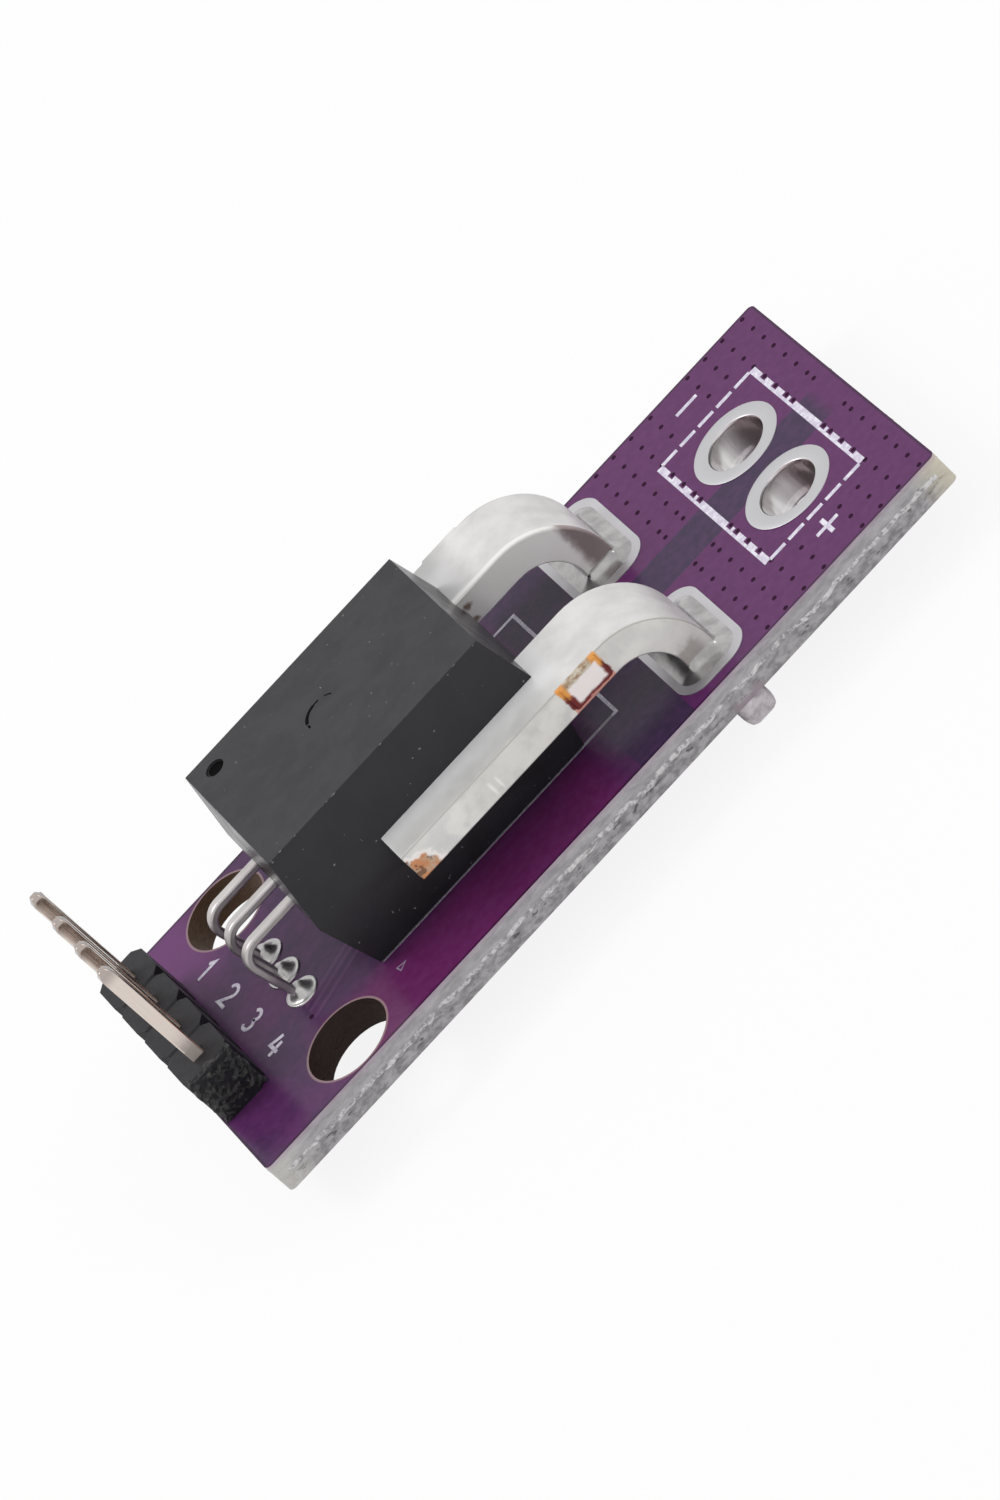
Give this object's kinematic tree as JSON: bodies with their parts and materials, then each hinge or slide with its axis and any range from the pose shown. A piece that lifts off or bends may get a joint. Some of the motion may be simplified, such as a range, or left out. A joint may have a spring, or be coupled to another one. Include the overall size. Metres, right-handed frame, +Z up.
{
  "type": "hall effect current sensor",
  "caption": "Small breakout board with a moulded current sensor on arched heavy leads, plated terminal holes at one end and a pin header at the other.",
  "frame": {"origin": "under the middle of the board, level with the tips of the soldered tails", "axes": "+X from the header to the terminal holes, +Y to the left seen from the header, +Z up"},
  "size_m": [0.039, 0.0176, 0.0123],
  "materials": {
    "board": "satin solder mask over glass laminate",
    "moulding": "fine spark-eroded texture",
    "conductor": "matt tin plate on copper",
    "core": "rolled",
    "die": "polished",
    "signal_lead": "matt tin plate on copper",
    "header_plastic": "moulded",
    "header_pin": "bright tin plate",
    "plating": "levelled tin on copper",
    "solder": "bright solder"
  },
  "bodies": {
    "root": {"circuit_board": "board", "sensor_body": "moulding", "primary_conductor": "conductor", "magnetic_core": "core", "hall_die": "die", "signal_lead_1": "signal_lead", "signal_lead_2": "signal_lead", "signal_lead_3": "signal_lead", "header_body": "header_plastic", "header_pin_1": "header_pin", "header_pin_2": "header_pin", "header_pin_3": "header_pin", "header_pin_4": "header_pin", "terminal_barrel_left": "plating", "terminal_barrel_right": "plating", "conductor_pad_left": "plating", "conductor_pad_right": "plating", "conductor_solder_left": "solder", "conductor_solder_right": "solder", "signal_solder_1": "solder", "signal_solder_2": "solder", "signal_solder_3": "solder", "header_solder_1": "solder", "header_solder_2": "solder", "header_solder_3": "solder", "header_solder_4": "solder"}
  },
  "joints": []
}
